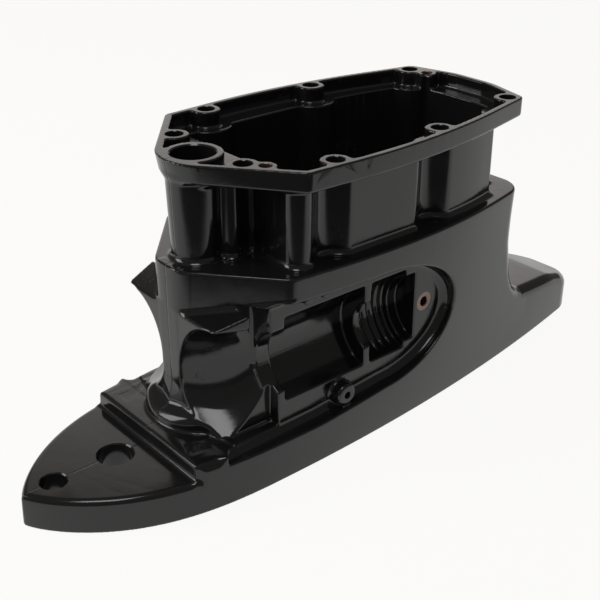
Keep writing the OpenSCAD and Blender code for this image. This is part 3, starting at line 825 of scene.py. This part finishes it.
def lathe(profile: Sequence[Point], segments: int = 64) -> tuple[Array, Array]:
    """Makes a solid of revolution about Z.

    Args:
        profile: Points (radius, height) from the bottom up; both ends are closed.
        segments: How many sides it has.

    Returns:
        Vertices and triangles.
    """
    verts = [(0.0, 0.0, profile[0][1])]
    for r, h in profile:
        for k in range(segments):
            a = 2 * math.pi * k / segments
            verts.append((r * math.cos(a), r * math.sin(a), h))
    verts.append((0.0, 0.0, profile[-1][1]))
    faces = []
    last = len(profile) - 1
    for k in range(segments):
        n = (k + 1) % segments
        faces.append((0, 1 + n, 1 + k))
        faces.append((len(verts) - 1, 1 + last * segments + k, 1 + last * segments + n))
        for j in range(last):
            a, b = 1 + j * segments, 1 + (j + 1) * segments
            faces += [(a + k, a + n, b + n), (a + k, b + n, b + k)]
    return np.array(verts), np.array(faces)


def drill_tree(material: bpy.types.Material) -> bpy.types.NodeTree:
    """Builds the Geometry Nodes tree that stands a chamfered drill on every point.

    Args:
        material: Set on the drills.

    Returns:
        The tree, with named inputs for radius, chamfer and depth in metres.
    """
    tree = bpy.data.node_groups.new("bolt_drills", "GeometryNodeTree")
    tree.interface.new_socket("Points", in_out="INPUT", socket_type="NodeSocketGeometry")
    for name in ("Radius", "Chamfer", "Depth"):
        tree.interface.new_socket(name, in_out="INPUT", socket_type="NodeSocketFloat")
    tree.interface.new_socket("Drills", in_out="OUTPUT", socket_type="NodeSocketGeometry")
    given = add_node(tree, "NodeGroupInput").outputs
    radius = given["Radius"]
    wide = add_node(tree, "ShaderNodeMath", {"operation": "ADD"}, i0=radius, i1=given["Chamfer"])
    low, start = (add_node(tree, "ShaderNodeMath", {"operation": "MULTIPLY"}, i0=given[name], i1=-1.0)
                  for name in ("Depth", "Chamfer"))
    index = add_node(tree, "GeometryNodeInputIndex")
    picks = []
    for values in ((low, start, 0.0, 0.001), (radius, radius, wide, wide)):
        pick = add_node(tree, "GeometryNodeIndexSwitch", {"data_type": "FLOAT"}, Index=index)
        while len(pick.index_switch_items) < len(values):
            pick.index_switch_items.new()
        for i, value in enumerate(values):
            feed(tree, pick.inputs[i + 1], value)
        picks.append(pick)
    line = add_node(tree, "GeometryNodeCurvePrimitiveLine")
    dots = add_node(tree, "GeometryNodeResampleCurve", i0=line, Count=4)
    heights = add_node(tree, "ShaderNodeCombineXYZ", i2=picks[0])
    axis = add_node(tree, "GeometryNodeSetPosition", Geometry=dots, Position=heights)
    axis = add_node(tree, "GeometryNodeSetCurveRadius", i0=axis, Radius=picks[1])
    circle = add_node(tree, "GeometryNodeCurvePrimitiveCircle", Resolution=64, Radius=1.0)
    drill = add_node(tree, "GeometryNodeCurveToMesh", Curve=axis, Profile_Curve=circle, Fill_Caps=True)
    if "Scale" in drill.inputs:
        feed(tree, drill.inputs["Scale"], add_node(tree, "GeometryNodeInputRadius"))
    stand = add_node(tree, "GeometryNodeInstanceOnPoints", Points=given["Points"], Instance=drill)
    real = add_node(tree, "GeometryNodeRealizeInstances", i0=stand)
    paint = add_node(tree, "GeometryNodeSetMaterial", i0=real, Material=material)
    add_node(tree, "NodeGroupOutput", i0=paint)
    return tree


@dataclass
class Machining:
    """The clean cuts that are made in the raw casting, and what they leave bare."""

    sizes: CastingSizes
    chamfer: float = 0.4
    spot_r: float = 6.4
    spot_depth: float = 0.2

    def cutter(self, name: str, profile: Sequence[Point], at: Vector, axis: str = "Z") -> bpy.types.Object:
        """Makes one turned cutter.

        Args:
            name: Name of the cutter.
            profile: Radius and height points, in millimetres.
            at: Where its zero stands, in millimetres.
            axis: Which way its height runs: Z, Y or -Y.

        Returns:
            The cutter.
        """
        verts, faces = lathe(profile)
        turn = {"Z": Matrix.Identity(3), "Y": Matrix.Rotation(-math.pi / 2, 3, "X"),
                "-Y": Matrix.Rotation(math.pi / 2, 3, "X")}[axis]
        verts = verts @ np.array(turn).T + np.array(at)
        return new_object(name, verts, faces)

    def subtract(self, casting: bpy.types.Object, cutter: bpy.types.Object) -> None:
        """Cuts one shape out of the casting and deletes the cutter."""
        mod = casting.modifiers.new("cut", "BOOLEAN")
        mod.operation = "DIFFERENCE"
        mod.solver = "MANIFOLD"
        mod.object = cutter
        before = len(casting.data.polygons)
        apply_modifiers(casting)
        LOG.info("cut %s: %d faces became %d", cutter.name, before, len(casting.data.polygons))
        bpy.data.objects.remove(cutter)

    def drills(self, material: bpy.types.Material) -> bpy.types.Object:
        """Makes the eight bolt drills with Geometry Nodes, as a plain mesh."""
        s = self.sizes
        points = [(x, y * side.value, s.height) for x, y in s.bolts for side in Side]
        mesh = bpy.data.meshes.new("bolt_drills")
        mesh.from_pydata([Vector(p) * MM for p in points], [], [])
        obj = bpy.data.objects.new("bolt_drills", mesh)
        bpy.context.scene.collection.objects.link(obj)
        mod = obj.modifiers.new("drills", "NODES")
        mod.node_group = drill_tree(material)
        wanted = {"Radius": s.bolt_r, "Chamfer": self.chamfer, "Depth": s.flange_t + 2}
        for item in mod.node_group.interface.items_tree:
            if item.item_type == "SOCKET" and item.in_out == "INPUT" and item.name in wanted:
                mod[item.identifier] = wanted[item.name] * MM
        apply_modifiers(obj)
        return obj

    def run(self, casting: bpy.types.Object, material: bpy.types.Material) -> None:
        """Makes every cut in turn."""
        s, c = self.sizes, self.chamfer
        self.subtract(casting, self.drills(material))
        for i, (dx, dy) in enumerate(s.dowels):
            self.subtract(casting, self.cutter(f"dowel_{i}", [
                (0.6, -9.5), (s.dowel_r, -8), (s.dowel_r, -c), (s.dowel_r + c, 0), (s.dowel_r + c, 1)],
                Vector((dx, dy, s.height))))
        self.subtract(casting, self.cutter("tube_seat", [
            (s.shaft_r, -s.height - 1), (s.shaft_r, -24), (s.tube_r, -24), (s.tube_r, -0.8),
            (s.tube_r + 0.8, 0), (s.tube_r + 0.8, 1)], Vector((s.shaft_x, 0, s.height))))
        for i, (px, r) in enumerate(s.pad_holes):
            self.subtract(casting, self.cutter(f"pad_hole_{i}", [
                (r, -s.pad_h - 1), (r, -0.7), (r + 0.7, 0), (r + 0.7, 2)], Vector((px, 0, s.pad_h))))
        for side in Side:
            axis = "Y" if side is Side.PORT else "-Y"
            self.subtract(casting, self.cutter(f"tap_{axis}", [
                (0.5, -14), (s.tap_r, -12), (s.tap_r, -0.7), (s.tap_r + 0.5, -self.spot_depth),
                (self.spot_r, -self.spot_depth), (self.spot_r, 2)],
                Vector((s.tap_x, s.face_y * side.value, s.mount_z)), axis))
            self.subtract(casting, self.cutter(f"screw_{axis}", [
                (0.5, -10.4), (s.screw_r, -9), (s.screw_r, -0.3), (s.screw_r + 0.3, 0),
                (s.screw_r + 0.3, 2)],
                Vector((s.boss[0], (s.face_y + s.screw_boss_h) * side.value, s.boss[1])), axis))


def smooth_with_field(obj: bpy.types.Object, skin: Field, angle: float = 38.0) -> None:
    """Gives the mesh the field's own normals where it is cast, and crisp ones where it is cut.

    Args:
        obj: The casting.
        skin: The field.
        angle: Greatest angle in degrees between a face and a soft normal.
    """
    mesh = obj.data
    mesh.shade_smooth()
    mesh.set_sharp_from_angle(angle=math.radians(angle))
    loops = len(mesh.loops)
    normals = np.empty(loops * 3, np.float32)
    mesh.corner_normals.foreach_get("vector", normals)
    normals = normals.reshape(-1, 3)
    co = np.empty(len(mesh.vertices) * 3, np.float32)
    mesh.vertices.foreach_get("co", co)
    co = co.reshape(-1, 3) / MM
    slope, near = skin.slope(co), np.abs(skin.at(co))
    vert = np.empty(loops, np.int32)
    mesh.loops.foreach_get("vertex_index", vert)
    total = np.empty(len(mesh.polygons), np.int32)
    mesh.polygons.foreach_get("loop_total", total)
    face = np.empty(len(mesh.polygons) * 3, np.float32)
    mesh.polygons.foreach_get("normal", face)
    face = np.repeat(face.reshape(-1, 3), total, 0)
    soft = slope[vert]
    use = (near[vert] < 0.35) & ((soft * face).sum(1) > math.cos(math.radians(angle)))
    normals[use] = soft[use]
    mesh.normals_split_custom_set(normals)


# ---------------------------------------------------------------- finishes


def hex_linear(code: str) -> tuple[float, float, float, float]:
    """Turns an sRGB hex colour into linear light."""
    parts = [int(code[i:i + 2], 16) / 255 for i in (0, 2, 4)]
    return tuple(v / 12.92 if v <= 0.04045 else ((v + 0.055) / 1.055) ** 2.4 for v in parts) + (1.0,)


def empty_tree(owner: bpy.types.Material | bpy.types.World) -> bpy.types.NodeTree:
    """Gives a material or the world its own nodes and clears them."""
    owner.use_nodes = True
    owner.node_tree.nodes.clear()
    return owner.node_tree


@dataclass(frozen=True)
class BlackEnamel:
    """Gloss black enamel sprayed over a cast skin: a hard film with fine orange peel and pinholes."""

    name: str = "gloss_black_enamel"
    colour: str = "1C1B1B"
    roughness: float = 0.13
    ior: float = 1.55
    peel_mm: float = 3.2
    pin_mm: float = 1.9
    skin_mm: float = 14.0
    patch_mm: float = 26.0
    seam_half_mm: float = 0.4
    seam_end_mm: float = -115.2
    peel_depth: float = 0.04
    skin_depth: float = 0.12
    seam_depth: float = 0.3

    def build(self) -> bpy.types.Material:
        """Makes the material."""
        mat = bpy.data.materials.new(self.name)
        tree = empty_tree(mat)
        co = add_node(tree, "ShaderNodeTexCoord").outputs["Object"]
        peel = add_node(tree, "ShaderNodeTexNoise", Vector=co, Scale=1 / (self.peel_mm * MM), Detail=1.5,
                        Roughness=0.4)
        skin = add_node(tree, "ShaderNodeTexNoise", Vector=co, Scale=1 / (self.skin_mm * MM), Detail=1.0)
        pins = add_node(tree, "ShaderNodeTexVoronoi", Vector=co, Scale=1 / (self.pin_mm * MM))
        seen = add_node(tree, "ShaderNodeTexNoise", Vector=co, Scale=1 / (self.patch_mm * MM), Detail=2.0)
        # pinholes come in patches, where the spray lay thin
        where = add_node(tree, "ShaderNodeMapRange", Value=seen, i1=0.56, i2=0.68, i3=0.0, i4=1.0)
        pit = add_node(tree, "ShaderNodeMapRange", Value=pins.outputs["Distance"], i1=0.10, i2=0.26,
                       i3=1.0, i4=0.0)
        pit = add_node(tree, "ShaderNodeMath", {"operation": "MULTIPLY"}, i0=pit, i1=where)
        # the mould's parting line, on the middle plane ahead of the column
        apart = add_node(tree, "ShaderNodeSeparateXYZ", Vector=co)
        off = add_node(tree, "ShaderNodeMath", {"operation": "ABSOLUTE"}, i0=apart.outputs[1])
        seam = add_node(tree, "ShaderNodeMapRange", Value=off, i1=self.seam_half_mm * MM / 2,
                        i2=self.seam_half_mm * MM * 1.5, i3=1.0, i4=0.0)
        ahead = add_node(tree, "ShaderNodeMath", {"operation": "LESS_THAN"}, i0=apart,
                         i1=self.seam_end_mm * MM)
        seam = add_node(tree, "ShaderNodeMath", {"operation": "MULTIPLY"}, i0=seam, i1=ahead)
        bump = add_node(tree, "ShaderNodeBump", Strength=0.5, Distance=self.skin_depth * MM, Height=skin)
        bump = add_node(tree, "ShaderNodeBump", {"invert": True}, Strength=0.6,
                        Distance=self.seam_depth * MM, Height=seam, Normal=bump)
        bump = add_node(tree, "ShaderNodeBump", Strength=0.35, Distance=self.peel_depth * MM, Height=peel,
                        Normal=bump)
        bump = add_node(tree, "ShaderNodeBump", {"invert": True}, Strength=0.5,
                        Distance=self.skin_depth * MM, Height=pit, Normal=bump)
        rough = add_node(tree, "ShaderNodeMapRange", Value=seen, i1=0.3, i2=0.75,
                         i3=self.roughness - 0.03, i4=self.roughness + 0.05)
        shader = add_node(tree, "ShaderNodeBsdfPrincipled", Base_Color=hex_linear(self.colour),
                          IOR=self.ior, Roughness=rough, Normal=bump)
        add_node(tree, "ShaderNodeOutputMaterial", Surface=shader)
        return mat


@dataclass(frozen=True)
class BareAluminium:
    """Aluminium that a cutter has bared, with fine turning marks."""

    name: str = "bare_cut_aluminium"
    colour: str = "8F7C73"
    roughness: float = 0.45
    mark_mm: float = 0.8
    mark_depth: float = 0.05

    def build(self) -> bpy.types.Material:
        """Makes the material."""
        mat = bpy.data.materials.new(self.name)
        tree = empty_tree(mat)
        co = add_node(tree, "ShaderNodeTexCoord").outputs["Object"]
        marks = add_node(tree, "ShaderNodeTexNoise", Vector=co, Scale=1 / (self.mark_mm * MM), Detail=2.0)
        bump = add_node(tree, "ShaderNodeBump", Strength=0.4, Distance=self.mark_depth * MM, Height=marks)
        shader = add_node(tree, "ShaderNodeBsdfPrincipled", Base_Color=hex_linear(self.colour),
                          Metallic=1.0, Roughness=self.roughness, Normal=bump)
        add_node(tree, "ShaderNodeOutputMaterial", Surface=shader)
        return mat


@dataclass
class Housing:
    """The driveshaft housing: the machined casting, dressed."""

    casting: Casting
    triangles: int = 175000

    def build(self, enamel: bpy.types.Material, bare: bpy.types.Material) -> bpy.types.Object:
        """Builds the mesh, machines it and gives it its finishes.

        Args:
            enamel: Finish of the whole casting.
            bare: Finish of what a cutter has bared.

        Returns:
            The finished object.
        """
        s = self.casting.sizes
        skin = self.casting.field()
        verts, quads = skin.net()
        verts = skin.settle(verts)
        LOG.info("field surface: %d vertices, %d quads", len(verts), len(quads))
        obj = new_object(NODE + "_casting", verts, quads)
        count = len(quads) * 2
        if count > self.triangles:
            mod = obj.modifiers.new("thin", "DECIMATE")
            mod.ratio = self.triangles / count
            apply_modifiers(obj)
        LOG.info("thinned to %d faces", len(obj.data.polygons))
        Machining(s).run(obj, bare)
        co = np.empty(len(obj.data.vertices) * 3, np.float32)
        obj.data.vertices.foreach_get("co", co)
        co = np.clip(co.reshape(-1, 3), np.array([s.nose_x, -s.flange_half, 0]) * MM,
                     np.array([s.tail_x, s.flange_half, s.height]) * MM)
        obj.data.vertices.foreach_set("co", co.ravel())
        obj.data.update()
        obj.data.materials.clear()
        obj.data.materials.append(enamel)
        obj.data.materials.append(bare)
        self.assign(obj, Machining(s).spot_r)
        smooth_with_field(obj, skin)
        return obj

    def assign(self, obj: bpy.types.Object, spot_r: float) -> None:
        """Gives the bare finish to the dowel holes' rims and the spot faces of the tapped holes.

        Args:
            obj: The casting.
            spot_r: Radius of the spot faces in millimetres.
        """
        s, mesh = self.casting.sizes, obj.data
        co = np.empty(len(mesh.vertices) * 3, np.float32)
        mesh.vertices.foreach_get("co", co)
        vert = np.empty(len(mesh.loops), np.int32)
        mesh.loops.foreach_get("vertex_index", vert)
        start = np.empty(len(mesh.polygons), np.int32)
        mesh.polygons.foreach_get("loop_start", start)
        c = co.reshape(-1, 3)[vert] / MM
        bare = np.zeros(len(c), bool)
        for dx, dy in s.dowels:
            bare |= (np.hypot(c[:, 0] - dx, c[:, 1] - dy) < s.dowel_r + 0.6) & (c[:, 2] > s.height - 10)
        side = np.abs(c[:, 1])
        bare |= (np.hypot(c[:, 0] - s.tap_x, c[:, 2] - s.mount_z) < spot_r + 0.05) & (
            side > s.face_y - 14) & (side < s.face_y - 0.1)
        faces = np.logical_and.reduceat(bare, start)
        mesh.polygons.foreach_set("material_index", faces.astype(np.int32))


# ---------------------------------------------------------------- the studio


@dataclass
class Studio:
    """Pale floor, soft lights and the camera at the photograph's angle."""

    eye: tuple[float, float, float] = (-0.4191, -0.4613, 0.3843)
    yaw: float = 49.84
    pitch: float = 27.19
    lens: float = 64.64
    sensor: float = 36.0
    floor_z: float = -0.0002
    floor_half: float = 12.0
    pale: tuple[float, float, float, float] = (0.86, 0.855, 0.845, 1.0)
    # colour of the painted shade that reflections see in the floor
    dark: tuple[float, float, float, float] = (0.08, 0.08, 0.08, 1.0)
    warm: tuple[float, float, float, float] = (1.0, 0.955, 0.92, 1.0)
    white: tuple[float, float, float, float] = (1.0, 1.0, 1.0, 1.0)
    floor_level: float = 1.2
    gloss_share: float = 0.7
    direct_share: float = 0.9
    # where the floor's painted shade lies: fade-in distance towards the camera, then fading half width, in
    # metres
    reflected_shade_patch: tuple[float, float, float, float] = (0.24, 0.36, 1.2, 1.6)
    glow: tuple[float, float] = (54.0, 13.0)
    glow_edge: tuple[float, float] = (0.85, 0.975)
    glow_level: tuple[float, float] = (0.14, 1.0)

    def camera(self) -> None:
        """Places the camera."""
        data = bpy.data.cameras.new("camera")
        data.lens, data.sensor_width = self.lens, self.sensor
        data.clip_start, data.clip_end = 0.01, 50
        cam = bpy.data.objects.new("camera", data)
        bpy.context.scene.collection.objects.link(cam)
        yaw, pitch = math.radians(self.yaw), math.radians(self.pitch)
        ahead = Vector((math.cos(pitch) * math.cos(yaw), math.cos(pitch) * math.sin(yaw), -math.sin(pitch)))
        cam.location = self.eye
        cam.rotation_euler = ahead.to_track_quat("-Z", "Y").to_euler()
        bpy.context.scene.camera = cam

    def lamp(self, name: str, at: Sequence[float], aim: Sequence[float], size: Sequence[float],
             power: float) -> None:
        """Hangs one soft area lamp.

        Args:
            name: Name of the lamp.
            at: Where it hangs, in metres.
            aim: The point it faces.
            size: Its width and height in metres.
            power: Its power in watts.
        """
        data = bpy.data.lights.new(name, "AREA")
        data.shape, data.size, data.size_y, data.energy = "RECTANGLE", size[0], size[1], power
        obj = bpy.data.objects.new(name, data)
        bpy.context.scene.collection.objects.link(obj)
        obj.location = at
        obj.rotation_euler = (Vector(aim) - Vector(at)).to_track_quat("-Z", "Y").to_euler()

    def floor(self) -> None:
        """Lays the pale floor: white to the camera, with a patch of painted shade that only reflections and
        bounced light see, standing in for the dark room on the camera's side.
        """
        half, low = self.floor_half / MM, self.floor_z / MM
        verts = np.array([(-half, -half, low), (half, -half, low), (half, half, low), (-half, half, low)])
        obj = new_object("studio_floor", verts, np.array([[0, 1, 2, 3]]))
        mat = bpy.data.materials.new("pale_floor")
        tree = empty_tree(mat)
        co = add_node(tree, "ShaderNodeTexCoord").outputs["Object"]
        yaw = math.radians(self.yaw)
        near = add_node(tree, "ShaderNodeVectorMath", {"operation": "DOT_PRODUCT"}, i0=co,
                        i1=(-math.cos(yaw), -math.sin(yaw), 0))
        across = add_node(tree, "ShaderNodeVectorMath", {"operation": "DOT_PRODUCT"}, i0=co,
                          i1=(math.sin(yaw), -math.cos(yaw), 0))
        wide = add_node(tree, "ShaderNodeMath", {"operation": "ABSOLUTE"}, i0=across.outputs["Value"])
        # painted shade: a dark patch on the camera's side of the floor, hidden from camera rays, darkens what
        # the enamel reflects
        depth = add_node(tree, "ShaderNodeMapRange", {"interpolation_type": "SMOOTHSTEP"},
                         Value=near.outputs["Value"], i1=self.reflected_shade_patch[0], i2=self.reflected_shade_patch[1], i3=0.0, i4=1.0)
        width = add_node(tree, "ShaderNodeMapRange", {"interpolation_type": "SMOOTHSTEP"},
                         Value=wide, i1=self.reflected_shade_patch[2], i2=self.reflected_shade_patch[3], i3=1.0, i4=0.0)
        reflected_shade_patch = add_node(tree, "ShaderNodeMath", {"operation": "MULTIPLY"}, i0=depth, i1=width)
        ray = add_node(tree, "ShaderNodeLightPath")
        direct = add_node(tree, "ShaderNodeMath", {"operation": "MAXIMUM"},
                          i0=ray.outputs["Is Camera Ray"], i1=ray.outputs["Is Transmission Ray"])
        seen = add_node(tree, "ShaderNodeMath", {"operation": "SUBTRACT"}, i0=1.0, i1=direct)
        reflected_shade_patch = add_node(tree, "ShaderNodeMath", {"operation": "MULTIPLY"}, i0=reflected_shade_patch, i1=seen)
        colour = add_node(tree, "ShaderNodeMix", {"data_type": "RGBA"}, Factor=reflected_shade_patch)
        colour.inputs[6].default_value, colour.inputs[7].default_value = self.pale, self.dark
        plain = add_node(tree, "ShaderNodeBsdfDiffuse", Color=colour.outputs[2])
        white = add_node(tree, "ShaderNodeEmission", Color=colour.outputs[2], Strength=self.floor_level)
        gloss = add_node(tree, "ShaderNodeMath", {"operation": "MULTIPLY"},
                         i0=ray.outputs["Is Glossy Ray"], i1=self.gloss_share)
        share = add_node(tree, "ShaderNodeMath", {"operation": "MULTIPLY_ADD"}, i0=direct,
                         i1=self.direct_share, i2=gloss)
        mix = add_node(tree, "ShaderNodeMixShader", Fac=share, i1=plain, i2=white)
        add_node(tree, "ShaderNodeOutputMaterial", Surface=mix)
        obj.data.materials.append(mat)

    def world(self) -> None:
        """Wraps the scene in a white backdrop, dark on the camera's side as the photographer's room is."""
        world = bpy.data.worlds.new("backdrop")
        bpy.context.scene.world = world
        tree = empty_tree(world)
        co = add_node(tree, "ShaderNodeTexCoord").outputs["Generated"]
        az, el = (math.radians(v) for v in self.glow)
        ahead = add_node(tree, "ShaderNodeVectorMath", {"operation": "DOT_PRODUCT"}, i0=co,
                         i1=(math.cos(az) * math.cos(el), math.sin(az) * math.cos(el), math.sin(el)))
        level = add_node(tree, "ShaderNodeMapRange", {"interpolation_type": "SMOOTHSTEP"},
                         Value=ahead.outputs["Value"], i1=self.glow_edge[0], i2=self.glow_edge[1],
                         i3=self.glow_level[0], i4=self.glow_level[1])
        ray = add_node(tree, "ShaderNodeLightPath")
        direct = add_node(tree, "ShaderNodeMath", {"operation": "MAXIMUM"},
                          i0=ray.outputs["Is Camera Ray"], i1=ray.outputs["Is Transmission Ray"])
        strength = add_node(tree, "ShaderNodeMix", {"data_type": "FLOAT"}, Factor=direct, A=level, B=1.0)
        tint = add_node(tree, "ShaderNodeMix", {"data_type": "RGBA"}, Factor=direct)
        tint.inputs[6].default_value, tint.inputs[7].default_value = self.warm, self.white
        back = add_node(tree, "ShaderNodeBackground", Color=tint.outputs[2], Strength=strength)
        add_node(tree, "ShaderNodeOutputWorld", Surface=back)

    def build(self) -> None:
        """Sets up everything round the object."""
        self.floor()
        self.world()
        self.camera()
        self.lamp("left_softbox", (-1.5, 0.9, 0.9), (0, 0, 0.1), (0.8, 1.1), 11)
        self.lamp("top_softbox", (-0.62, -0.38, 1.6), (-0.1, 0, 0.1), (0.6, 0.6), 5)
        bpy.context.scene.view_settings.view_transform = "Standard"


def main() -> None:
    """Builds the housing and the studio, and logs the casting's face count."""
    logging.basicConfig(level=logging.INFO, format="%(name)s: %(message)s")
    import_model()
    Studio().build()
    enamel, bare = BlackEnamel().build(), BareAluminium().build()
    casting = Casting(CastingSizes(), FINE_CELL)
    obj = Housing(casting).build(enamel, bare)
    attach(obj, BODY)
    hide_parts(NODE)
    LOG.info("%s: %d faces", obj.name, len(obj.data.polygons))


if __name__ == "__main__":
    main()
